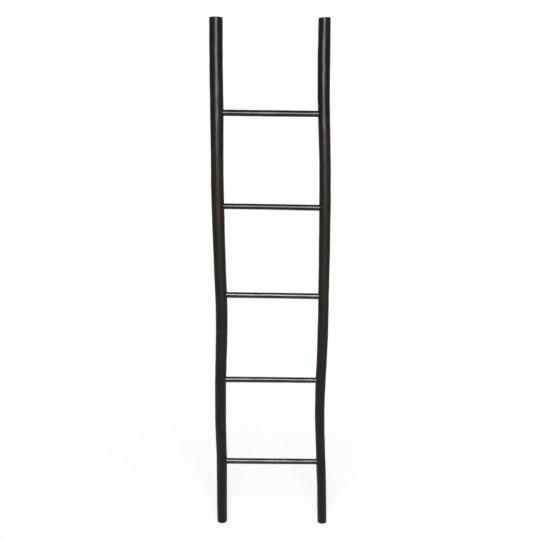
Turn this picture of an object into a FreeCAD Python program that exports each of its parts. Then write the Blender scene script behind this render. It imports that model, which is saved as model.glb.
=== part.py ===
import FreeCAD, Part
import os
import Sketcher

# Blanket ladder: two peeled natural poles stand side by side and five round rungs join them.
# Each rung end is glued in a blind socket bored across the pole, and a thin steel pin, driven in from
# the back of the pole, goes into it.
#
# Frame: the origin is on the floor, in the middle between the feet. +Z runs up the ladder, +X to the
# right as seen from the front, and +Y to the back, which is the side that leans on a wall. Millimetres.

# Axes to turn about, as the sheet's expressions write them.
ABOUT_X = "vector(1; 0; 0)"
ABOUT_Y = "vector(0; 1; 0)"
ABOUT_Z = "vector(0; 0; 1)"

# The poles are measured at stations from the foot to the top: height, centre to the right of the
# ladder's middle, centre behind the ladder's plane, and diameter. Between two stations the wood runs
# straight, so the stations sit where the pole bends or swells.
# A rung's station takes its height and depth from the rung and adds the pole's lean there, in degrees
# to the right. The pole is straight and even for a short length there, so that the rung seats well.
LEFT_STATIONS = [
    ("foot", 0, -177.5, 0.5, 36),
    ("bend_1", 30, -178, 0.5, 37),
    ("bend_2", 110, -178, 0, 37.5),
    ("rung_5", None, -177.7, None, 38.5, -0.6),
    ("bend_3", 300, -179, -1.5, 38.5),
    ("bend_4", 400, -181.7, -0.5, 40.3),
    ("rung_4", None, -181, None, 40.3, 0.8),
    ("bend_5", 660, -178, 3.5, 41),
    ("bend_6", 780, -175.6, 4, 41.9),
    ("rung_3", None, -177.5, None, 42.2, -1.6),
    ("bend_7", 940, -180.5, 2, 42),
    ("rung_2", None, -187, None, 43.2, -1.2),
    ("bend_8", 1245, -188.3, -2, 43.6),
    ("bend_9", 1360, -188.4, -3.5, 42.7),
    ("rung_1", None, -188.8, None, 44.6, -0.6),
    ("bend_10", 1640, -190.1, -1.5, 44.9),
    ("bend_11", 1745, -190.2, 0, 45.2),
    ("top", 1803, -189.8, 0.5, 44.2),
]
RIGHT_STATIONS = [
    ("foot", 0, 195.5, 1.5, 34),
    ("bend_1", 160, 190.2, 0, 34),
    ("rung_5", None, 185.7, None, 34.2, -3),
    ("bend_2", 400, 178.1, 1.5, 34.5),
    ("bend_3", 470, 177, 2, 35.6),
    ("rung_4", None, 178.3, None, 36.3, 1.4),
    ("bend_4", 650, 180.7, 0.5, 36.8),
    ("bend_5", 720, 181.6, 0.5, 37.6),
    ("bend_6", 820, 182, 1.5, 37.6),
    ("rung_3", None, 181.2, None, 38, -0.8),
    ("bend_7", 960, 181.3, 3, 38.5),
    ("rung_2", None, 179.1, None, 39.4, -0.9),
    ("bend_8", 1350, 174.8, -2.5, 39.3),
    ("rung_1", None, 167.9, None, 40.7, -2.4),
    ("bend_9", 1560, 165.6, -1.5, 41.1),
    ("bend_10", 1660, 163.9, -0.5, 41.6),
    ("bend_11", 1750, 163.5, 1.5, 41.2),
    ("top", 1803, 163.1, 2, 40),
]
STATIONS = {"left": LEFT_STATIONS, "right": RIGHT_STATIONS}

# The rungs, from the top one down, about 312 apart: height of the axis between its ends, depth of the
# axis, tilt in degrees (the right end lower), how far the middle bows upwards, and diameter at the
# left, middle and right.
RUNGS = [
    ("rung_1", 1494, -2, 0.2, -0.3, 21, 21.2, 20.6),
    ("rung_2", 1181, 0, 0.5, 0.4, 20, 20, 20.5),
    ("rung_3", 869, 3, 0.4, 0.2, 21.1, 20.9, 20.9),
    ("rung_4", 558, 1.5, 0.1, 0.4, 21, 20.6, 19.3),
    ("rung_5", 244, -1, 0, -0.1, 21.2, 20.9, 20.2),
]

# Where each pole is sawn off at the top, and how far its cut slopes up to the right, in degrees.
TOP_CUTS = {"left": (1797.5, 0), "right": (1799, 3)}

OTHER_SIZES = {
    "top_edge": 1.5,            # chamfer of the sawn rim at the top
    "foot_edge": 3,             # rounding of the rim on the floor
    "offcut": 60,               # what the top saw cut takes away, wider and taller than the pole's end
    "seat_length": 32,          # straight length of pole round each rung
    "rung_past_middle": 7,      # how far a rung goes on past the middle of the pole
    "rung_end_gap": 1,          # glue space behind the rung's end
    "glue_line": 0.1,           # radial gap between rung and socket
    "rung_even_end": 32,        # length of the rung's end that doesn't taper
    "pin_length": 20,
    "pin_diameter": 1.8,
    "pin_sunk": 1,              # depth of the pin's end under the back of the pole
    "pin_gap": 0.05,            # radial gap round the pin
    "pin_front_gap": 0.3,
}

# Cubic millimetres: a cut that adds no face takes at least this away, and two seated pieces share no
# more than this.
OFFCUT_VOLUME = 1000
MOST_OVERLAP = 0.01

doc = FreeCAD.newDocument("blanket_ladder")
sheet = doc.addObject("Spreadsheet::Sheet", "Sizes")


def fill_sheet():
    """Write every driving dimension into the sheet, with its name as the cell's alias."""
    sizes = dict(OTHER_SIZES)
    for side, stations in STATIONS.items():
        for station, height, across, depth, diameter, *lean in stations:
            own = f"{side}_{station}_"
            sizes[own + "across"] = across
            sizes[own + "diameter"] = diameter
            if lean:
                sizes[own + "lean"] = lean[0]
            else:
                sizes[own + "height"] = height
                sizes[own + "depth"] = depth
        sizes[f"{side}_cut_height"], sizes[f"{side}_cut_slope"] = TOP_CUTS[side]
    for rung, height, depth, tilt, bow, left, middle, right in RUNGS:
        sizes[f"{rung}_height"] = height
        sizes[f"{rung}_depth"] = depth
        sizes[f"{rung}_tilt"] = tilt
        sizes[f"{rung}_bow"] = bow
        sizes[f"{rung}_left_diameter"] = left
        sizes[f"{rung}_middle_diameter"] = middle
        sizes[f"{rung}_right_diameter"] = right
    for row, (alias, value) in enumerate(sizes.items(), start=1):
        sheet.set(f"A{row}", alias)
        sheet.set(f"B{row}", str(value))
        sheet.setAlias(f"B{row}", alias)
    doc.recompute()


def place_at(along_x, along_y, along_z, axis=ABOUT_Z, degrees="0"):
    """The expression for a place, moved along three axes and turned about one."""
    return f"placement(vector({along_x}; {along_y}; {along_z}); rotation({axis}; {degrees}))"


def new_body(name, place=place_at("0", "0", "0")):
    body = doc.addObject("PartDesign::Body", name)
    body.Label = name
    body.setExpression("Placement", place)
    return body


def new_sketch(body, name, role, place=place_at("0", "0", "0")):
    """A sketch on one of the body's origin planes, moved and turned along the plane's own axes."""
    plane = next(feature for feature in body.Origin.OriginFeatures if feature.Role == role)
    sketch = body.newObject("Sketcher::SketchObject", name)
    sketch.AttachmentSupport = [(plane, "")]
    sketch.MapMode = "FlatFace"
    sketch.setExpression("AttachmentOffset", place)
    return sketch


def draw_circle(sketch, diameter):
    """A circle about the sketch's origin."""
    start = float(sheet.evalExpression(diameter)) / 2
    sketch.addGeometry(Part.Circle(FreeCAD.Vector(), FreeCAD.Vector(0, 0, 1), start))
    sketch.addConstraint(Sketcher.Constraint("Coincident", 0, 3, -1, 1))
    index = sketch.addConstraint(Sketcher.Constraint("Diameter", 0, 2 * start))
    sketch.setExpression(f"Constraints[{index}]", diameter)


def draw_square(sketch, size):
    """A square with one corner on the sketch's origin, on the positive side of both axes."""
    start = float(sheet.evalExpression(size))
    corners = [(0, 0), (start, 0), (start, start), (0, start)]
    for corner, following in zip(corners, corners[1:] + corners[:1]):
        sketch.addGeometry(Part.LineSegment(FreeCAD.Vector(*corner), FreeCAD.Vector(*following)))
    for line in range(4):
        sketch.addConstraint(Sketcher.Constraint("Coincident", line, 2, (line + 1) % 4, 1))
        sketch.addConstraint(Sketcher.Constraint("Vertical" if line % 2 else "Horizontal", line))
    sketch.addConstraint(Sketcher.Constraint("Coincident", 0, 1, -1, 1))
    for kind, line in (("DistanceX", 0), ("DistanceY", 1)):
        index = sketch.addConstraint(Sketcher.Constraint(kind, line, 1, line, 2, start))
        sketch.setExpression(f"Constraints[{index}]", size)


def loft(body, name, sections):
    """A straight run of wood from each section to the next."""
    feature = body.newObject("PartDesign::AdditiveLoft", name)
    feature.Profile = sections[0]
    feature.Sections = sections[1:]
    feature.Ruled = True


def bore(body, name, plane, place, diameter, reverse=False):
    """A round hole from its flat bottom, at the given place, out through everything in its way."""
    outline = new_sketch(body, name + "_outline", plane, place)
    draw_circle(outline, diameter)
    hole = body.newObject("PartDesign::Pocket", name)
    hole.Profile = outline
    hole.Type = "ThroughAll"
    hole.Reversed = reverse


def rung_height_at(rung, across):
    """Height of the rung's axis at a place across the ladder."""
    return f"Sizes.{rung}_height - ({across}) * tan(Sizes.{rung}_tilt * 1 deg)"


def pin_front(rung, side):
    """Depth of the pin's front end; its rear end is just under the back of the pole."""
    return (f"Sizes.{rung}_depth + Sizes.{side}_{rung}_diameter / 2"
            " - Sizes.pin_sunk - Sizes.pin_length")


def drill_for_pin(body, name, across, depth, height):
    """The pin's hole, towards the back, from a little in front of the pin's front end."""
    bore(body, name, "XZ_Plane", place_at(across, height, f"Sizes.pin_front_gap - ({depth})"),
         "Sizes.pin_diameter + 2 * Sizes.pin_gap")


def edges_round(face, shape):
    """Names of the edges round one face of a shape."""
    names = []
    for number, edge in enumerate(shape.Edges, start=1):
        if any(edge.isSame(other) for other in face.Edges):
            names.append(f"Edge{number}")
    return names


def ease_rim(body, kind, name, end, size):
    """Fillet or chamfer the rim of the highest (end 1) or lowest (end -1) flat face."""
    doc.recompute()
    base = body.Tip
    flats = [face for face in base.Shape.Faces if isinstance(face.Surface, Part.Plane)]
    face = max(flats, key=lambda flat: end * flat.CenterOfMass.z)
    rim = body.newObject(kind, name)
    rim.Base = (base, edges_round(face, base.Shape))
    rim.setExpression("Radius" if kind == "PartDesign::Fillet" else "Size", size)


def pole_sections(body, side):
    """A circle at every station, and two round each rung, square to the pole's lean there."""
    sections = []
    for station, height, *_ in STATIONS[side]:
        own = f"Sizes.{side}_{station}"
        if height is not None:
            places = [place_at(own + "_across", own + "_depth", own + "_height")]
        else:
            places = []
            for half in ("-Sizes.seat_length / 2", "Sizes.seat_length / 2"):
                across = f"{own}_across + {half} * sin({own}_lean * 1 deg)"
                places.append(place_at(
                    across, f"Sizes.{station}_depth",
                    f"{rung_height_at(station, own + '_across')} + {half} * cos({own}_lean * 1 deg)",
                    ABOUT_Y, own + "_lean"))
        for place in places:
            section = new_sketch(body, f"{side}_{station}_section", "XY_Plane", place)
            draw_circle(section, own + "_diameter")
            sections.append(section)
    return sections


def make_pole(side):
    """One upright: lofted through its stations, sawn off, its rims eased, its sockets and pin holes bored."""
    body = new_body(f"{side}_stile")
    loft(body, f"{side}_pole", pole_sections(body, side))

    slope = f"Sizes.{side}_cut_slope"
    cut = new_sketch(body, f"{side}_top_cut_outline", "XZ_Plane",
                     place_at(f"Sizes.{side}_top_across - Sizes.offcut / 2 * cos({slope} * 1 deg)",
                              f"Sizes.{side}_cut_height - Sizes.offcut / 2 * sin({slope} * 1 deg)",
                              "0", ABOUT_Z, slope))
    draw_square(cut, "Sizes.offcut")
    saw = body.newObject("PartDesign::Pocket", f"{side}_top_cut")
    saw.Profile = cut
    saw.Type = "ThroughAll"
    saw.Midplane = True
    ease_rim(body, "PartDesign::Chamfer", f"{side}_top_rim", 1, "Sizes.top_edge")
    ease_rim(body, "PartDesign::Fillet", f"{side}_foot_rim", -1, "Sizes.foot_edge")

    outward = -1 if side == "left" else 1
    for rung, *_ in RUNGS:
        middle = f"Sizes.{side}_{rung}_across"
        bottom = f"{middle} + {outward} * (Sizes.rung_past_middle + Sizes.rung_end_gap)"
        bore(body, f"{side}_{rung}_socket", "YZ_Plane",
             place_at(f"Sizes.{rung}_depth", rung_height_at(rung, bottom), bottom,
                      ABOUT_X, f"Sizes.{rung}_tilt"),
             f"Sizes.{rung}_{side}_diameter + 2 * Sizes.glue_line", reverse=side == "left")
        drill_for_pin(body, f"{side}_{rung}_pin_hole", middle, pin_front(rung, side),
                      rung_height_at(rung, middle))


def make_rung(rung):
    """One rung, lofted along its own X axis from its left end, then laid between the sockets."""
    tilt = f"Sizes.{rung}_tilt"
    left_end = f"Sizes.left_{rung}_across - Sizes.rung_past_middle"
    body = new_body(rung, place_at(left_end, f"Sizes.{rung}_depth", rung_height_at(rung, left_end),
                                   ABOUT_Y, tilt))
    span = f"(Sizes.right_{rung}_across - Sizes.left_{rung}_across)"
    length = f"(({span} + 2 * Sizes.rung_past_middle) / cos({tilt} * 1 deg))"
    left, middle, right = [f"Sizes.{rung}_{part}_diameter" for part in ("left", "middle", "right")]
    sections = []
    for along, rise, diameter in (
            ("0", "0", left),
            ("Sizes.rung_even_end", "0", left),
            (f"{length} / 2", f"Sizes.{rung}_bow", middle),
            (f"{length} - Sizes.rung_even_end", "0", right),
            (length, "0", right)):
        section = new_sketch(body, rung + "_section", "YZ_Plane", place_at("0", rise, along))
        draw_circle(section, diameter)
        sections.append(section)
    loft(body, rung + "_rod", sections)

    for side, from_end in (("left", "Sizes.rung_past_middle"),
                           ("right", f"({span} + Sizes.rung_past_middle)")):
        drill_for_pin(body, f"{rung}_{side}_pin_hole", f"{from_end} / cos({tilt} * 1 deg)",
                      f"{pin_front(rung, side)} - Sizes.{rung}_depth", "0")


def make_pin(rung, side):
    """One headless steel pin, driven in from the back of the pole."""
    name = f"{rung}_{side}_pin"
    across = f"Sizes.{side}_{rung}_across"
    body = new_body(name, place_at(across, pin_front(rung, side), rung_height_at(rung, across)))
    section = new_sketch(body, name + "_section", "XZ_Plane")
    draw_circle(section, "Sizes.pin_diameter")
    wire = body.newObject("PartDesign::Pad", name + "_wire")
    wire.Profile = section
    wire.Reversed = True
    wire.setExpression("Length", "Sizes.pin_length")


def bodies():
    """The finished pieces by name."""
    return {thing.Label: thing for thing in doc.Objects if thing.TypeId == "PartDesign::Body"}


def check_model():
    """Stop if any object failed, any cut took no wood away, or any piece is not one sound solid."""
    for thing in doc.Objects:
        if "Invalid" in thing.State or "Error" in thing.State:
            raise RuntimeError(f"{thing.Label} failed: {thing.State}")
        if thing.TypeId == "PartDesign::Pocket":
            before, after = thing.BaseFeature.Shape, thing.Shape
            if len(after.Faces) <= len(before.Faces) and after.Volume > before.Volume - OFFCUT_VOLUME:
                raise RuntimeError(f"{thing.Label} cuts nothing")
    for body in bodies().values():
        if body.Shape.isNull() or not body.Shape.isValid() or len(body.Shape.Solids) != 1:
            raise RuntimeError(f"{body.Label} is not one sound solid")


def check_seats():
    """Stop if a rung end or a pin runs into what it sits in."""
    shapes = {name: body.Shape for name, body in bodies().items()}
    for rung, *_ in RUNGS:
        for side in STATIONS:
            pole, rod, pin = shapes[f"{side}_stile"], shapes[rung], shapes[f"{rung}_{side}_pin"]
            for inner, outer in ((rod, pole), (pin, pole), (pin, rod)):
                if inner.common(outer).Volume > MOST_OVERLAP:
                    raise RuntimeError(f"{rung} is not seated at the {side} pole")


fill_sheet()
for pole_side in STATIONS:
    make_pole(pole_side)
for rung_name, *_ in RUNGS:
    make_rung(rung_name)
    for pin_side in STATIONS:
        make_pin(rung_name, pin_side)
doc.recompute()
check_model()
check_seats()

os.makedirs("parts", exist_ok=True)
for name, body in bodies().items():
    body.Shape.exportStep(f"parts/{name}.step")
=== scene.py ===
# %% [markdown]
# A blanket ladder leans on a bedroom wall with throws over its rungs. It is made of seven sticks of wood:
# two peeled natural poles, thicker at the top and gently bent in several places, and five round rungs
# glued into them. All of it is stained black-brown and rubbed to a satin sheen.
#
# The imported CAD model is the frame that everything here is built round. It already has the right sizes,
# but its poles are straight runs of wood between measured stations, as a carpenter would lay them out.
# This script reads those stations off the model and grows smooth, slightly uneven wood round them.

import math

import bmesh
import bpy
from mathutils import Matrix, Vector, noise


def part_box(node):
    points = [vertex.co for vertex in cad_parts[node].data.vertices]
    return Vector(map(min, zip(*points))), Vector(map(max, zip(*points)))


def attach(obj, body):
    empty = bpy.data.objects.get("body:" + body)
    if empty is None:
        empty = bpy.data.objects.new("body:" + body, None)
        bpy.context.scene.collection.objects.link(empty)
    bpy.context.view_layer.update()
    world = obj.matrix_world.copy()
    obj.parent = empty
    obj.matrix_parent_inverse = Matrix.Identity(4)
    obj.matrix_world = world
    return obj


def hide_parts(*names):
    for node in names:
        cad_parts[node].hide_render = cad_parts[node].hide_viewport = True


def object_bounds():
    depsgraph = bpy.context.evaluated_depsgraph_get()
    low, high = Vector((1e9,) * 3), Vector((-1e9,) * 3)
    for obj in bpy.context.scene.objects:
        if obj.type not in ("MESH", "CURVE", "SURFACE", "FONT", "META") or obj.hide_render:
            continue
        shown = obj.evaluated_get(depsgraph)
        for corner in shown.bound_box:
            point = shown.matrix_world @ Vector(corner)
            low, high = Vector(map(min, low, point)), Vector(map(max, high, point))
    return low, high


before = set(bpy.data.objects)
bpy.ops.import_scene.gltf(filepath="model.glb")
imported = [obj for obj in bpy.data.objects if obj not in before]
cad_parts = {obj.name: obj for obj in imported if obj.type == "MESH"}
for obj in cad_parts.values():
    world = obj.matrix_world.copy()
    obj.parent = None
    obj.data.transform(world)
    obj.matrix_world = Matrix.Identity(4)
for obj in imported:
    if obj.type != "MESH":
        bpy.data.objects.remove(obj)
cad_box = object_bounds()
scene = bpy.context.scene

MM = 0.001
print("the ladder's box in mm:", [[round(side / MM, 1) for side in corner] for corner in cad_box])

# %% [markdown]
# How do we find out where a pole runs? Slice it. A plane through a solid leaves a ring of edges, and the
# ring's width and place give the pole's thickness and its middle at that height. Slicing works on a copy,
# because the CAD mesh itself must stay as it is, and the copy's loose triangles are joined first.
#
# At a rung the ring is open on one side, where the socket goes in. So the middle is found from the back,
# the front and the side that faces away from the rung, and never from the side with the socket.

# %% Slice a CAD node
TOUCHING = 0.001 * MM


def joined_copy(node):
    """A bmesh of a CAD node with its loose triangles joined along their edges."""
    solid = bmesh.new()
    solid.from_mesh(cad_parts[node].data)
    bmesh.ops.remove_doubles(solid, verts=solid.verts, dist=TOUCHING)
    return solid


def slice_at(solid, along, place, far_side):
    """Middle and radius of a round solid where a plane crosses its length.

    along is the axis the solid runs along (0 for X, 2 for Z), and far_side is -1 or 1, the side away from
    any opening on the other sideways axis.
    """
    plane = Vector((0, 0, 0))
    plane[along] = 1
    cut = solid.copy()
    ring = bmesh.ops.bisect_plane(cut, geom=cut.verts[:] + cut.edges[:] + cut.faces[:],
                                  plane_co=plane * place, plane_no=plane)["geom_cut"]
    points = [item.co.copy() for item in ring if isinstance(item, bmesh.types.BMVert)]
    cut.free()
    sideways = 2 - along
    low = min(point.y for point in points)
    high = max(point.y for point in points)
    radius = (high - low) / 2
    outer = max(far_side * point[sideways] for point in points)
    middle = Vector((0, (low + high) / 2, 0))
    middle[along] = place
    middle[sideways] = far_side * (outer - radius)
    return middle, radius


left_solid = joined_copy("left_stile")
middle, radius = slice_at(left_solid, 2, 0.7, -1)
left_solid.free()
print(f"left pole at 700 mm: {middle.x / MM:.1f} across, {2 * radius / MM:.1f} thick")

# %% [markdown]
# A pole is sliced every 12 mm. Between the stations the real wood doesn't run straight and then turn a
# corner, it flows, so each value is averaged with its neighbours. The two ends keep their places.

# %% Read the line of each stick
SLICE_STEP = 12 * MM
SMOOTH_REACH = 3            # slices on each side that are averaged with a slice
END_MARGIN = 4 * MM         # keeps the first and last slice clear of the rounded rims


def line_of(node, along, far_side):
    """The smoothed line of a round piece: a list of (place along it, middle, radius)."""
    solid = joined_copy(node)
    low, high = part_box(node)
    start, length = low[along] + END_MARGIN, high[along] - low[along] - 2 * END_MARGIN
    count = round(length / SLICE_STEP)
    places = [start + length * step / count for step in range(count + 1)]
    slices = [slice_at(solid, along, place, far_side) for place in places]
    solid.free()
    line = []
    for number, place in enumerate(places):
        reach = min(SMOOTH_REACH, number, count - number)
        near = slices[number - reach:number + reach + 1]
        middle = sum((one[0] for one in near), Vector()) / len(near)
        radius = sum(one[1] for one in near) / len(near)
        line.append((place, middle, radius))
    return line


def on_line(line, along, place):
    """Middle and radius of a line at any place along it, also a little past its ends."""
    step = (line[-1][0] - line[0][0]) / (len(line) - 1)
    number = min(max(int((place - line[0][0]) / step), 0), len(line) - 2)
    before, after = line[number], line[number + 1]
    share = (place - before[0]) / (after[0] - before[0])
    middle = before[1].lerp(after[1], share)
    middle[along] = place
    return middle, before[2] + (after[2] - before[2]) * share


POLES = {"left_stile": -1, "right_stile": 1}        # the side that faces away from the rungs
RUNGS = ["rung_1", "rung_2", "rung_3", "rung_4", "rung_5"]
pole_lines = {pole: line_of(pole, 2, side) for pole, side in POLES.items()}
rung_lines = {rung: line_of(rung, 0, 1) for rung in RUNGS}
for pole, line in pole_lines.items():
    print(pole, "thickness from foot to top:", [round(2 * one[2] / MM, 1) for one in line[::25]])

# %% [markdown]
# A peeled pole isn't a lathe's work. The knife that took the bark off left long flats and hollows a few
# tenths of a millimetre deep, and where a twig grew there is a low swelling with a dimple in it. These
# are small, but they break up the reflection that runs down the pole, and that is what tells the eye that
# this is wood and not a painted pipe. Here and there a knock has left a small nick. Near the top each
# pole is also a little fuller on the side that faces the other one. Smooth noise gives the flats and
# hollows, and the marks come after them.
#
# One way to get them is a displacement modifier. Here each point is moved as the rod is made, because
# then the amount is in millimetres and the wood can be kept inside the size of the frame.

# %% Hollows, flats and ripples
HOLLOW_DEPTH, HOLLOW_LUMPS = 0.3 * MM, (1.3, 11)     # depth, and how many lumps around and along
FLAT_DEPTH, FLAT_LUMPS = 0.5 * MM, (2.3, 21)
RIPPLE_DEPTH, RIPPLE_LUMPS = 0.12 * MM, (5, 70)
FULLNESS = 0.12 * MM        # how far the uneven skin lies outside the frame's radius, on average
BOX_MARGIN = 0.02 * MM


def lumps(turn, place, seed, around, along):
    """Smooth noise from -1 to 1 on a rod, with more lumps around it or along it for larger numbers."""
    return noise.noise(Vector((around * math.cos(turn) + seed, around * math.sin(turn), along * place)))


def hollows(turn, place, seed):
    """How far the skin moves in or out at a direction round the rod and a place along it."""
    return (HOLLOW_DEPTH * lumps(turn, place, seed, *HOLLOW_LUMPS)
            + FLAT_DEPTH * lumps(turn, place, seed, *FLAT_LUMPS)
            + RIPPLE_DEPTH * lumps(turn, place, seed, *RIPPLE_LUMPS))


def inside_the_box(place):
    """The same place, or the nearest one that doesn't make the ladder wider or deeper than its frame."""
    low, high = cad_box
    for axis in (0, 1):
        place[axis] = min(max(place[axis], low[axis] + BOX_MARGIN), high[axis] - BOX_MARGIN)
    return place


heights = [hollows(0, step * SLICE_STEP, 0) for step in range(100)]
print("hollows from", round(min(heights) / MM, 2), "to", round(max(heights) / MM, 2), "mm")

# %% [markdown]
# Knots, nicks and swellings are marks at chosen places. Each is a soft bump or dent that fades away from
# its middle like a bell: an exponential of minus the distance squared. A steeper bell makes a smaller
# mark, and a knot is a wide bell with a steep one taken out of it, which leaves the dimple.

# %% Knots, nicks and swellings
KNOT_HEIGHT, KNOT_SIZE = 0.5 * MM, (7 * MM, 11 * MM)     # height, and half width and half length
NICK_DEPTH, NICK_SIZE = 0.5 * MM, (2.6 * MM, 4.5 * MM)
SWELLING_HEIGHT, SWELLING_SIZE = 0.8 * MM, (26 * MM, 120 * MM)
STEEPNESS = 2
DIMPLE, DIMPLE_STEEPNESS = 0.9, 14      # share of the knot's height that the dimple takes out
KNOT_STAIN_STEEPNESS = 2.5

# Each mark: height in metres, and direction round the pole in degrees (0 to the right, 90 to the back).
KNOTS = {
    "left_stile": [(0.178, 200), (0.405, 320), (0.655, 130), (1.09, 245), (1.262, 35), (1.585, 150)],
    "right_stile": [(0.098, 60), (0.462, 215), (0.716, 345), (0.948, 110), (1.285, 170), (1.64, 290)],
}
NICKS = {
    "left_stile": [(1.185, 257), (0.858, 240), (0.830, 240), (0.738, 238), (0.52, 95)],
    "right_stile": [(1.41, 20), (0.77, 60), (0.31, 140)],
}
SWELLINGS = {"left_stile": [(1.49, 0)], "right_stile": [(1.66, 180)]}


def distance_from(mark, turn, place, radius, size):
    """Distance from the middle of a mark on the skin, where 1 is its edge."""
    height, direction = mark
    round_by = (turn - math.radians(direction) + math.pi) % (2 * math.pi) - math.pi
    return math.hypot(round_by * radius / size[0], (place - height) / size[1])


def bell(share, steepness=STEEPNESS):
    """1 in the middle of a mark, fading to nothing around it."""
    return math.exp(-steepness * share ** 2)


def knot_relief(share):
    """A low swelling with a dimple in the middle."""
    return KNOT_HEIGHT * (bell(share) - DIMPLE * bell(share, DIMPLE_STEEPNESS))


print("a knot stands out by", round(max(knot_relief(n / 20) for n in range(20)) / MM, 2), "mm at most")

# %% [markdown]
# Now the wood itself. Every stick starts as a plain cylinder of radius 1, its long edges cut into short
# steps, and then each ring of points is moved to where the line says. Three things are stored while the
# rod is still straight: where each point is in the straight stick, so that the grain later follows the
# bends, how much of a knot it belongs to, and how worn it is.

# %% Grow a stick of wood
SIDES = 72
ROW = 4 * MM


def grow(line, along, start, end, seed, unevenness=1, knots=(), nicks=(), swellings=()):
    """A bmesh stick from start to end along a line, with its grain stored in each point."""
    rod = bmesh.new()
    bmesh.ops.create_cone(rod, cap_ends=True, segments=SIDES, radius1=1, radius2=1, depth=end - start)
    bmesh.ops.translate(rod, verts=rod.verts, vec=(0, 0, (start + end) / 2))
    long_edges = [edge for edge in rod.edges if abs(edge.verts[0].co.z - edge.verts[1].co.z) > ROW]
    bmesh.ops.subdivide_edges(rod, edges=long_edges, cuts=round((end - start) / ROW) - 1,
                              use_grid_fill=True)
    grain = rod.verts.layers.float_vector.new("grain")
    knot_layer = rod.verts.layers.float.new("knot")
    worn_layer = rod.verts.layers.float.new("worn")
    for point in rod.verts:
        turn, place = math.atan2(point.co.y, point.co.x), point.co.z
        middle, radius = on_line(line, along, place)
        relief = unevenness * hollows(turn, place, seed) + FULLNESS
        for swelling in swellings:
            share = distance_from(swelling, turn, place, radius, SWELLING_SIZE)
            relief += SWELLING_HEIGHT * bell(share)
        for knot in knots:
            share = distance_from(knot, turn, place, radius, KNOT_SIZE)
            relief += knot_relief(share)
            point[knot_layer] = max(point[knot_layer], bell(share, KNOT_STAIN_STEEPNESS))
        for nick in nicks:
            share = distance_from(nick, turn, place, radius, NICK_SIZE)
            relief -= NICK_DEPTH * bell(share)
            point[worn_layer] = max(point[worn_layer], bell(share))
        reach = radius + relief
        point[grain] = Vector((radius * math.cos(turn), radius * math.sin(turn), place + seed))
        if along == 2:
            out = Vector((reach * math.cos(turn), reach * math.sin(turn), 0))
        else:
            out = Vector((0, reach * math.sin(turn), -reach * math.cos(turn)))
        point.co = inside_the_box(middle + out)
    return rod


trial = grow(rung_lines["rung_1"], 0, -0.1, 0.1, 0)
print("200 mm of rung has", len(trial.faces), "faces")
trial.free()

# %% [markdown]
# The saw comes next. The top of each pole was cut a little past its last bend, the right one slightly
# askew. The plane of each cut is read off the CAD node: its upward faces at the top, averaged by area. A
# bisect could do the sawing, but it leaves slivers beside the rows of points, and a bevel can't ease a rim
# of slivers. So the top rows are tilted, each a little more than the one below, until the flat top lies in
# the plane of the cut, and then a bevel eases its sharp rim, as sandpaper does. Below, the rim on the
# floor is rounder, because feet get knocked.

# %% Saw and ease the ends
TOP_EASE, TOP_STEPS = 1.5 * MM, 4       # width of the eased rim, and steps across it
FOOT_EASE, FOOT_STEPS = 3 * MM, 6
UNDER_THE_CUT = 0.1 * MM    # the visible top stays this far under the frame's
TILT_REACH = 30 * MM        # how far below the cut its tilt begins
TOP_FACES = (0.99, 4 * MM)  # a face of the cut points up at least this much and lies this near the top


def sawn_plane(node):
    """A point on the flat top of a pole and its normal."""
    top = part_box(node)[1].z
    upward, near_top = TOP_FACES
    normal, point, area = Vector(), Vector(), 0
    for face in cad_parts[node].data.polygons:
        if face.normal.z > upward and face.center.z > top - near_top:
            normal += face.normal * face.area
            point += face.center * face.area
            area += face.area
    normal.normalize()
    return point / area - normal * UNDER_THE_CUT, normal


def ease(rod, edges, offset, segments):
    bmesh.ops.bevel(rod, geom=edges, offset=offset, offset_type="OFFSET", segments=segments,
                    profile=0.5, affect="EDGES", material=-1, clamp_overlap=True)


def saw_top(rod, middle, normal):
    """Tilt the top of a rod into the plane of the cut, and ease its rim."""
    for point in rod.verts:
        share = 1 - (middle.z - point.co.z) / TILT_REACH
        if share > 0:
            away = point.co - middle
            point.co.z -= share * (normal.x * away.x + normal.y * away.y) / normal.z
    highest = max(rod.faces, key=lambda face: face.calc_center_median().z)
    ease(rod, list(highest.edges), TOP_EASE, TOP_STEPS)


def ease_foot(rod):
    lowest = min(rod.faces, key=lambda face: face.calc_center_median().z)
    ease(rod, list(lowest.edges), FOOT_EASE, FOOT_STEPS)


for pole in POLES:
    point, normal = sawn_plane(pole)
    print(pole, "is sawn at", round(point.z / MM, 1), "mm,",
          round(math.degrees(math.atan2(-normal.x, normal.z)), 1), "degrees up to the right")

# %% [markdown]
# Where hands and floors have rubbed a stick, the stain is thin and the wood shows through. That is at its
# sawn rims first of all. It is a colour and not a shape, so it could be painted, but a number stored in
# each point follows the rim by itself.

# %% Worn ends
WORN_REACH = 9 * MM
TOP_WEAR, FOOT_WEAR = 0.15, 0.45


def wear_end(rod, end, outwards, most):
    """Mark the skin beside a sawn end as worn, most of all at the rim."""
    worn_layer = rod.verts.layers.float["worn"]
    for point in rod.verts:
        depth = (end - point.co).dot(outwards)
        point[worn_layer] = max(point[worn_layer], most * (1 - depth / WORN_REACH))


print("the wear reaches", round(WORN_REACH / MM), "mm from each end")

# %% [markdown]
# At the back of each pole are five tiny round holes, one behind each rung. A steel pin sits in each,
# driven in until it is just under the surface. To make such a hole in a mesh, take the nearest point of
# the skin and slide it onto the pin's axis, with the points round it, so that none of them comes too
# close. Then bevel it: that opens a small four-cornered face in its place. More points on its edges let
# it be pulled into a circle, and pushed inwards it becomes the bottom of the hole, a little below the
# pin's end.

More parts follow.
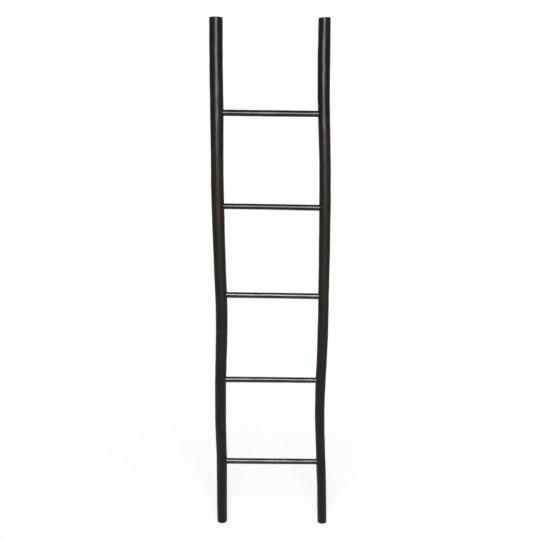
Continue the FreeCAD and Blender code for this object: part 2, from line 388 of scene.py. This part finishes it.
# %% Drill the pin holes
PIN_HOLE = 1.9 * MM
MOUTH = 0.7 * PIN_HOLE      # how far the bevel opens the skin, on each side of its point
MOUTH_CUTS = 3              # further points on each side of the mouth, so that it can become round
SEARCH_DEPTH = 1.4 * MM     # the skin's nearest point is sought from this far in front of the pin's end
PIN_SHOWS = 0.4 * MM        # how far the pin's end stands above the bottom of the hole
SLIDE_REACH = 10 * MM       # how far from the hole the skin's points still slide


def drill(rod, pin):
    """Open a round hole in the back of a pole, where a pin's end sits under it."""
    low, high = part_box(pin)
    across, height = (low.x + high.x) / 2, (low.z + high.z) / 2
    behind = [point for point in rod.verts if point.co.y > high.y - SEARCH_DEPTH]
    entry = min(behind, key=lambda point: math.hypot(point.co.x - across, point.co.z - height))
    centre = entry.co.copy()
    slide = Vector((across - centre.x, 0, height - centre.z))
    for point in rod.verts:
        # The slide is a full one up to half its reach, and fades from there on.
        share = 2 * (1 - (point.co - centre).length / SLIDE_REACH)
        if share > 0:
            point.co += slide * min(share, 1)
    mouth = bmesh.ops.bevel(rod, geom=[entry], offset=MOUTH, offset_type="OFFSET", segments=1,
                            profile=0.5, affect="VERTICES", material=-1)["faces"][0]
    bmesh.ops.bisect_edges(rod, edges=list(mouth.edges), cuts=MOUTH_CUTS)
    for edge in mouth.edges:
        edge.smooth = False
    for point in mouth.verts:
        spoke = Vector((point.co.x - across, point.co.z - height)).normalized() * PIN_HOLE / 2
        point.co.x, point.co.z = across + spoke.x, height + spoke.y
    bottom = bmesh.ops.extrude_discrete_faces(rod, faces=[mouth])["faces"][0]
    for point in bottom.verts:
        point.co.y = high.y - PIN_SHOWS


print("each hole is", round(PIN_HOLE / MM, 1), "mm wide")

# %% [markdown]
# The stain is nearly black, but it isn't one colour. It soaked deeper into the soft early wood and into
# knots, rubbing wore it thinner on the high places, and the brown of the wood comes through there. All of
# this runs along the grain. So the colour is made from noise stretched along the stick, read from the
# stored grain coordinates, where the third number runs along the wood however it bends. On top of that,
# painted shade makes the poles darker and less brown at their tops and their feet than in their middle.
#
# These helpers each add one kind of node to a material and return its output.

# %% Helpers for materials


def new_finish(name):
    """An empty material, its node tree and its shader."""
    finish = bpy.data.materials.new(name)
    finish.use_nodes = True
    tree = finish.node_tree
    tree.nodes.clear()
    output = tree.nodes.new("ShaderNodeOutputMaterial")
    shader = tree.nodes.new("ShaderNodeBsdfPrincipled")
    tree.links.new(shader.outputs["BSDF"], output.inputs["Surface"])
    return finish, tree, shader


def stored(tree, name, output="Vector"):
    attribute = tree.nodes.new("ShaderNodeAttribute")
    attribute.attribute_name = name
    return attribute.outputs[output]


def stretched_noise(tree, source, scale, stretch, detail=4.0, rough=0.55):
    """Noise on the given coordinates, drawn out along their third axis."""
    mapping = tree.nodes.new("ShaderNodeMapping")
    mapping.inputs["Scale"].default_value = (1, 1, 1 / stretch)
    tree.links.new(source, mapping.inputs["Vector"])
    pattern = tree.nodes.new("ShaderNodeTexNoise")
    pattern.inputs["Scale"].default_value = scale
    pattern.inputs["Detail"].default_value = detail
    pattern.inputs["Roughness"].default_value = rough
    tree.links.new(mapping.outputs["Vector"], pattern.inputs["Vector"])
    return pattern.outputs["Fac"]


def spread(tree, value, low, high, to_low=0.0, to_high=1.0):
    """Stretch a value from one range to another, and clamp it there."""
    ranged = tree.nodes.new("ShaderNodeMapRange")
    tree.links.new(value, ranged.inputs["Value"])
    for name, number in (("From Min", low), ("From Max", high), ("To Min", to_low), ("To Max", to_high)):
        ranged.inputs[name].default_value = number
    return ranged.outputs["Result"]


def blend(tree, share, below, above):
    """Mix two colours, each a colour or another node's output, by a share."""
    mix = tree.nodes.new("ShaderNodeMix")
    mix.data_type = "RGBA"
    for socket, value in ((mix.inputs["Factor"], share), (mix.inputs[6], below), (mix.inputs[7], above)):
        if isinstance(value, bpy.types.NodeSocket):
            tree.links.new(value, socket)
        else:
            socket.default_value = (*value, 1)
    return mix.outputs[2]


def calculate(tree, operation, first, second, third=0.0):
    """A Math node on numbers or other nodes' outputs."""
    math_node = tree.nodes.new("ShaderNodeMath")
    math_node.operation = operation
    for socket, value in zip(math_node.inputs, (first, second, third)):
        if isinstance(value, bpy.types.NodeSocket):
            tree.links.new(value, socket)
        else:
            socket.default_value = value
    return math_node.outputs["Value"]


def bump(tree, shader, height, depth):
    """Raise a pattern by a depth in metres."""
    relief = tree.nodes.new("ShaderNodeBump")
    relief.inputs["Distance"].default_value = depth
    tree.links.new(height, relief.inputs["Height"])
    tree.links.new(relief.outputs["Normal"], shader.inputs["Normal"])


# %% [markdown]
# First the colour. Streaks as thin as wood fibres decide where the stain is thin, and soft clouds make
# whole stretches of a stick a little darker. Wide bands, and the knots, are soaked with stain. At rims and
# nicks the wood shows through. Each of these patterns is one noise, fine or coarse, and more or less
# drawn out. Each then gets a range: below its first number the pattern does nothing, above its second it
# does all it can.

# %% The colour of the stain, and painted shade along the poles
STREAKS = {"scale": 420, "stretch": 28, "detail": 5}
BANDS = {"scale": 60, "stretch": 10, "detail": 3}
CLOUDS = {"scale": 14, "stretch": 2.5, "detail": 2}

BLACK = (0.0030, 0.0026, 0.0024), (0.0082, 0.0066, 0.0053)      # where the stain is full, where it is thin
BROWN = (0.0062, 0.0043, 0.0028), (0.0152, 0.0096, 0.0053)
SOAKED = (0.0028, 0.0024, 0.0022)
WORN_THIN = (0.062, 0.046, 0.033)

# Painted shade along the poles: these heights set where they are painted darker and where browner.
BROWN_BELOW = (1.72, 1.38)      # heights in metres between which the dark painted shade of the top gives way to brown
BLACK_FEET = (0.36, 0.62)       # and between which it turns black again above the floor
HEIGHT_WANDER = 0.35            # how far the clouds move these heights, in metres
THIN_STREAKS = (0.38, 0.62)
THIN_CLOUDS = (0.3, 0.65, 1.0, 0.35)        # the range, and the share of thin stain at both its ends
SOAKED_BANDS = (0.56, 0.68, 0.0, 0.6)
SOAKED_KNOTS = (0.2, 0.9, 0.0, 0.8)
WORN_STREAKS = (0.35, 0.6, 0.5)


def stain_and_shade_colour(tree, streaks, clouds, bands, height, lower, tone_below):
    """Black stain whose colour turns to another tone lower down, with painted shade darker at the top and
    the feet.
    """
    # Painted shade: the share of the lighter tone is none at the top and at the feet.
    browner = calculate(tree, "MULTIPLY", lower, spread(tree, height, *BLACK_FEET))
    thin = spread(tree, streaks, *THIN_STREAKS)
    thin = calculate(tree, "MULTIPLY", thin, spread(tree, clouds, *THIN_CLOUDS))
    colour = blend(tree, browner, blend(tree, thin, *BLACK), blend(tree, thin, *tone_below))
    colour = blend(tree, spread(tree, bands, *SOAKED_BANDS), colour, SOAKED)
    colour = blend(tree, spread(tree, stored(tree, "knot", "Fac"), *SOAKED_KNOTS), colour, SOAKED)
    worn = calculate(tree, "MULTIPLY", stored(tree, "worn", "Fac"), spread(tree, streaks, *WORN_STREAKS))
    return blend(tree, worn, colour, WORN_THIN)


print("thin black stain is", round(BLACK[1][0] / BLACK[0][0], 1), "times as bright as full stain")

# %% [markdown]
# Then the sheen, which is satin. The gloss is uneven in the same streaks, and fine pores make the long
# reflection on a pole look mottled. Both come from the roughness and a bump of a few hundredths of a
# millimetre. The lower rungs have been handled and rubbed more than the rest, so their finish is
# glossier. The brown part of a pole is a little duller than its black part.

# %% Stained wood along the grain
PORES = {"scale": 1500, "stretch": 7, "detail": 3, "rough": 0.7}
FIBRES = {**STREAKS, "detail": 1.5}     # the same streaks with less fine detail
PORES_IN_GLOSS = 0.6            # share of the pores in the gloss, against the streaks
PORES_IN_BUMP = 0.15            # and in the bump, against the fibres
GLOSS_RANGE = (0.6, 1.0)
MATT_BELOW = 0.08               # how much rougher the brown part is


def stained_and_shaded_wood(name, tone_below, roughness, specular, pore_depth):
    """Black-stained wood with painted shade: it turns to another tone, given as such a pair, lower down.
    """
    finish, tree, shader = new_finish(name)
    grain = stored(tree, "grain")
    streaks = stretched_noise(tree, grain, **STREAKS)
    bands = stretched_noise(tree, grain, **BANDS)
    clouds = stretched_noise(tree, grain, **CLOUDS)
    pores = stretched_noise(tree, grain, **PORES)
    fibres = stretched_noise(tree, grain, **FIBRES)

    split = tree.nodes.new("ShaderNodeSeparateXYZ")
    tree.links.new(tree.nodes.new("ShaderNodeTexCoord").outputs["Object"], split.inputs["Vector"])
    height = calculate(tree, "MULTIPLY_ADD", clouds, HEIGHT_WANDER, split.outputs["Z"])
    lower = spread(tree, height, *BROWN_BELOW)
    colour = stain_and_shade_colour(tree, streaks, clouds, bands, height, lower, tone_below)
    tree.links.new(colour, shader.inputs["Base Color"])

    uneven = calculate(tree, "MULTIPLY_ADD", pores, PORES_IN_GLOSS, streaks)
    gloss = spread(tree, uneven, *GLOSS_RANGE, *roughness)
    if tone_below != BLACK:
        gloss = calculate(tree, "MULTIPLY_ADD", lower, MATT_BELOW, gloss)
    tree.links.new(gloss, shader.inputs["Roughness"])
    bump(tree, shader, calculate(tree, "MULTIPLY_ADD", pores, PORES_IN_BUMP, fibres), pore_depth)
    shader.inputs["Specular IOR Level"].default_value = specular
    return finish


# The poles carry the painted shade: black at the top and the feet, brown in between.
pole_wood = stained_and_shaded_wood("pole_wood", tone_below=BROWN, roughness=(0.25, 0.38), specular=0.19,
                         pore_depth=0.05 * MM)
rung_wood = stained_and_shaded_wood("rung_wood", tone_below=BLACK, roughness=(0.20, 0.28), specular=0.26,
                         pore_depth=0.012 * MM)
rubbed_rung_wood = stained_and_shaded_wood("rubbed_rung_wood", tone_below=BLACK, roughness=(0.12, 0.18),
                                specular=0.46, pore_depth=0.007 * MM)
print("finishes for the wood:", [made.name for made in (pole_wood, rung_wood, rubbed_rung_wood)])

# %% [markdown]
# A sawn end shows the wood from another side: growth rings round a heart that is never quite in the
# middle. End grain drinks stain, so it is darker and duller than the side. A wave texture in rings gives
# them. Its distortion makes some years wider than others, as dry and wet summers do.

# %% Sawn ends
HEART = (2.8 * MM, 1.7 * MM, 0)
RINGS = {"Scale": 140, "Distortion": 4.5, "Detail": 2, "Detail Scale": 0.8}     # about 2.2 mm a year
LATE_WOOD = (0.2, 0.9)
RING_DEPTH = 0.03 * MM
END_ROUGHNESS, END_SPECULAR = 0.6, 0.2


def end_grain(name):
    finish, tree, shader = new_finish(name)
    off_middle = tree.nodes.new("ShaderNodeMapping")
    off_middle.inputs["Location"].default_value = HEART
    tree.links.new(stored(tree, "grain"), off_middle.inputs["Vector"])
    rings = tree.nodes.new("ShaderNodeTexWave")
    rings.wave_type = "RINGS"
    rings.rings_direction = "Z"
    for socket, number in RINGS.items():
        rings.inputs[socket].default_value = number
    tree.links.new(off_middle.outputs["Vector"], rings.inputs["Vector"])
    ring_share = spread(tree, rings.outputs["Fac"], *LATE_WOOD)
    tree.links.new(blend(tree, ring_share, SOAKED, BROWN[0]), shader.inputs["Base Color"])
    shader.inputs["Roughness"].default_value = END_ROUGHNESS
    shader.inputs["Specular IOR Level"].default_value = END_SPECULAR
    bump(tree, shader, rings.outputs["Fac"], RING_DEPTH)
    return finish


end_wood = end_grain("end_wood")
print("the heart lies", round(math.hypot(*HEART) / MM, 1), "mm from the middle of a stick")

# %% [markdown]
# The pieces are finished the same way: the bmesh becomes an object at the origin, its flat end faces take
# the end-grain finish, everything is shaded smooth except at the rims of those faces, and the piece is
# tied to the frame's root body, while the CAD node it stands for is hidden.

# %% Finish a piece
MOST_CORNERS = 8            # a face with more is a sawn end or the bottom of a hole


def finish_piece(name, rod, node, finishes):
    """Turn a bmesh into a visible piece that stands for a CAD node."""
    for face in rod.faces:
        face.smooth = True
        if len(face.verts) > MOST_CORNERS:
            face.material_index = 1
            for edge in face.edges:
                edge.smooth = False
    mesh = bpy.data.meshes.new(name)
    rod.to_mesh(mesh)
    rod.free()
    for finish in finishes:
        mesh.materials.append(finish)
    piece = bpy.data.objects.new(name, mesh)
    scene.collection.objects.link(piece)
    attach(piece, "root")
    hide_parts(node)
    return piece


# %% [markdown]
# The two poles carry everything. Each grows along its own line up to its cut, and is then sawn, eased and
# drilled. The seed number gives each its own hollows and its own grain.

# %% The two poles
POLE_SEED = 3.7

for pole, line in pole_lines.items():
    cut_point, cut_normal = sawn_plane(pole)
    rod = grow(line, 2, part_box(pole)[0].z, cut_point.z, POLES[pole] * POLE_SEED,
               knots=KNOTS[pole], nicks=NICKS[pole], swellings=SWELLINGS[pole])
    saw_top(rod, cut_point, cut_normal)
    ease_foot(rod)
    wear_end(rod, cut_point, cut_normal, TOP_WEAR)
    wear_end(rod, Vector((0, 0, 0)), Vector((0, 0, -1)), FOOT_WEAR)
    for rung in RUNGS:
        drill(rod, f"{rung}_{pole.split('_')[0]}_pin")
    piece = finish_piece(pole.replace("stile", "pole"), rod, pole, [pole_wood, end_wood])
    print(piece.name, "has", len(piece.data.polygons), "faces")

# %% [markdown]
# The rungs are rods of about 20 mm, whittled rather than turned: no two are equally thick, and each bows
# a little. They run on into the poles, where glue and a pin hold them, so their ends need no easing.

# %% The five rungs
RUBBED_RUNGS = ("rung_3", "rung_4", "rung_5")
RUNG_UNEVENNESS = 0.4       # against the poles
RUNG_SEED = 11.3

for number, rung in enumerate(RUNGS, start=1):
    low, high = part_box(rung)
    rod = grow(rung_lines[rung], 0, low.x, high.x, RUNG_SEED * number, RUNG_UNEVENNESS)
    wood = rubbed_rung_wood if rung in RUBBED_RUNGS else rung_wood
    piece = finish_piece(rung + "_rod", rod, rung, [wood, end_wood])
    print(piece.name, "has", len(piece.data.polygons), "faces")

# %% [markdown]
# The pins are plain steel wire, driven in from the back and set just under the surface. They stay the CAD
# nodes they are and only get a finish: bare steel, drawn lengthwise, a little dull.

# %% Steel for the pins
DRAWN_LINES = {"scale": 2500, "stretch": 0.1, "detail": 2}
DULL_STEEL, BRIGHT_STEEL = (0.30, 0.29, 0.28), (0.50, 0.49, 0.47)
LINE_RANGE = (0.3, 0.7)
STEEL_ROUGHNESS = (0.3, 0.45)


def drawn_steel(name):
    finish, tree, shader = new_finish(name)
    places = tree.nodes.new("ShaderNodeTexCoord").outputs["Object"]
    lines = stretched_noise(tree, places, **DRAWN_LINES)
    colour = blend(tree, spread(tree, lines, *LINE_RANGE), DULL_STEEL, BRIGHT_STEEL)
    tree.links.new(colour, shader.inputs["Base Color"])
    shader.inputs["Metallic"].default_value = 1
    tree.links.new(spread(tree, lines, *LINE_RANGE, *STEEL_ROUGHNESS), shader.inputs["Roughness"])
    return finish


pin_steel = drawn_steel("pin_steel")
for rung in RUNGS:
    for side in ("left", "right"):
        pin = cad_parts[f"{rung}_{side}_pin"]
        pin.data.materials.clear()
        pin.data.materials.append(pin_steel)
print("pins finished in", pin_steel.name)

# %% [markdown]
# The photograph was taken on white, in a room that is dim in front of the white. The floor is a wide pale
# sheet that really receives light, so the ladder's shadow falls on it, and a little further out it turns
# into plain white, as the wall behind is. That white is painted with Light Path: for what the camera
# sees, and for what a reflection or glass would see. Far out it fades into the dim room.

# %% Floor and wall
ROOM = 0.4                      # how bright the room is, where a lit white wall is 1
FLOOR_REACH = 4.5
WALL_PLACE = 3.3
WALL_HEIGHT = 3
WHITE_MIDDLE = (0, 2.6, 0)      # middle of the oval of white
WHITE_SHAPE = (1 / 2.35, 1 / 3.05, 0)   # one over its half widths in metres; its height doesn't count
WHITE_REACH = (1.0, 1.4)        # where the white starts to fade, and where it ends, against its shape
SHADOW_REACH = (0.3, 1.2)       # where the floor starts to hide the shadow, and where it hides it all
SHADOW_HIDDEN = 0.7             # share of plain white in the floor beside the feet
SHEET_GREY, SHEET_ROUGHNESS = (0.9, 0.9, 0.9, 1), 0.9


def seen_directly(tree):
    """1 for camera, glossy and transmission rays."""
    path = tree.nodes.new("ShaderNodeLightPath")
    seen = calculate(tree, "MAXIMUM", path.outputs["Is Camera Ray"], path.outputs["Is Glossy Ray"])
    return calculate(tree, "MAXIMUM", seen, path.outputs["Is Transmission Ray"])


def flat_distance(tree, middle, shape=(1, 1, 0)):
    """Distance from a point, measured along the floor and against a shape."""
    mapping = tree.nodes.new("ShaderNodeMapping")
    mapping.inputs["Location"].default_value = [-value * scale for value, scale in zip(middle, shape)]
    mapping.inputs["Scale"].default_value = shape
    tree.links.new(tree.nodes.new("ShaderNodeTexCoord").outputs["Object"], mapping.inputs["Vector"])
    length = tree.nodes.new("ShaderNodeVectorMath")
    length.operation = "LENGTH"
    tree.links.new(mapping.outputs["Vector"], length.inputs[0])
    return length.outputs["Value"]


def studio_white(name, shadow):
    """Pale matt sheet that is plain white to the eye, less so where it shows a shadow."""
    finish, tree, shader = new_finish(name)
    shader.inputs["Base Color"].default_value = SHEET_GREY
    shader.inputs["Roughness"].default_value = SHEET_ROUGHNESS
    white = tree.nodes.new("ShaderNodeEmission")
    fade = spread(tree, flat_distance(tree, WHITE_MIDDLE, WHITE_SHAPE), *WHITE_REACH)
    tree.links.new(blend(tree, fade, (1, 1, 1), (ROOM, ROOM, ROOM)), white.inputs["Color"])
    share = seen_directly(tree)
    if shadow:
        hidden = spread(tree, flat_distance(tree, (0, 0, 0)), *SHADOW_REACH, SHADOW_HIDDEN, 1)
        share = calculate(tree, "MULTIPLY", share, hidden)
    mix = tree.nodes.new("ShaderNodeMixShader")
    tree.links.new(share, mix.inputs["Fac"])
    tree.links.new(shader.outputs["BSDF"], mix.inputs[1])
    tree.links.new(white.outputs["Emission"], mix.inputs[2])
    tree.links.new(mix.outputs["Shader"], tree.nodes["Material Output"].inputs["Surface"])
    return finish


def sheet(name, width, depth, place, upright, finish):
    surface = bmesh.new()
    bmesh.ops.create_grid(surface, x_segments=1, y_segments=1, size=0.5)
    bmesh.ops.scale(surface, verts=surface.verts, vec=(width, depth, 1))
    if upright:
        bmesh.ops.rotate(surface, verts=surface.verts, matrix=Matrix.Rotation(math.radians(90), 3, "X"))
    bmesh.ops.translate(surface, verts=surface.verts, vec=place)
    mesh = bpy.data.meshes.new(name)
    surface.to_mesh(mesh)
    surface.free()
    mesh.materials.append(finish)
    made = bpy.data.objects.new(name, mesh)
    scene.collection.objects.link(made)
    return made


floor = sheet("floor", 2 * FLOOR_REACH, 2 * FLOOR_REACH, (0, 0, 0), False,
              studio_white("floor_white", True))
wall = sheet("wall", 2 * FLOOR_REACH, WALL_HEIGHT, (0, WALL_PLACE, WALL_HEIGHT / 2), True,
             studio_white("wall_white", False))
print("floor and wall:", floor.name, wall.name)

# %% [markdown]
# One big soft light hangs in front of the ladder at the height of its top. A satin stick shows it as a
# long soft stripe: down the upper half of the poles, and along every rung. A long low board in front,
# further to the right, is much dimmer, and shows as the faint light on the right half of each pole lower
# down. A weak lamp behind keeps the back from being a plain black shape. The room around is dim, so the
# sides of the poles stay dark.

# %% Light


def soft_light(name, size, place, aim, brightness, colour=(1, 1, 1)):
    """A rectangular soft light, its brightness given against a lit white wall."""
    light = bpy.data.lights.new(name, "AREA")
    light.shape = "RECTANGLE"
    light.size, light.size_y = size
    light.energy = brightness * math.pi * size[0] * size[1]
    light.color = colour
    lamp = bpy.data.objects.new(name, light)
    lamp.location = place
    lamp.rotation_euler = (Vector(aim) - Vector(place)).to_track_quat("-Z", "Y").to_euler()
    scene.collection.objects.link(lamp)
    return lamp


softbox = soft_light("softbox", size=(1.05, 1.2), place=(0, -1.9, 1.92), aim=(0, 0, 1.0), brightness=19.5)
soft_light("side_board", size=(3.0, 1.15), place=(1.15, -2.1, 0.9), aim=(0, 0, 0.9), brightness=0.8,
           colour=(1, 0.95, 0.9))
soft_light("back_lamp", size=(1.4, 1.4), place=(-0.5, 3.0, 1.95), aim=(0, 0, 0.9), brightness=3)

room = bpy.data.worlds.new("room")
room.use_nodes = True
room.node_tree.nodes["Background"].inputs["Color"].default_value = (ROOM, ROOM, ROOM, 1)
scene.world = room
print("softbox power:", round(softbox.data.energy), "watts")

# %% [markdown]
# The camera stands in front of the ladder at shoulder height and looks slightly down, which makes the
# ladder look a little narrower towards the floor. It is also half a degree off level.

# %% Camera
CAMERA_PLACE = Vector((-0.0071, -2.4985, 1.478))
LOOKS_DOWN = math.radians(11.69)
OFF_LEVEL = math.radians(0.5)
SENSOR = 36
FOCAL_PIXELS, PICTURE_PIXELS = 733.6, 540

camera = bpy.data.cameras.new("camera")
camera.sensor_width = SENSOR
camera.lens = SENSOR * FOCAL_PIXELS / PICTURE_PIXELS
tripod = bpy.data.objects.new("camera", camera)
tripod.matrix_world = (Matrix.Translation(CAMERA_PLACE)
                       @ Matrix.Rotation(math.pi / 2 - LOOKS_DOWN, 4, "X")
                       @ Matrix.Rotation(OFF_LEVEL, 4, "Z"))
scene.collection.objects.link(tripod)
scene.camera = tripod
scene.view_settings.view_transform = "Standard"
print("lens:", round(camera.lens, 1), "mm")
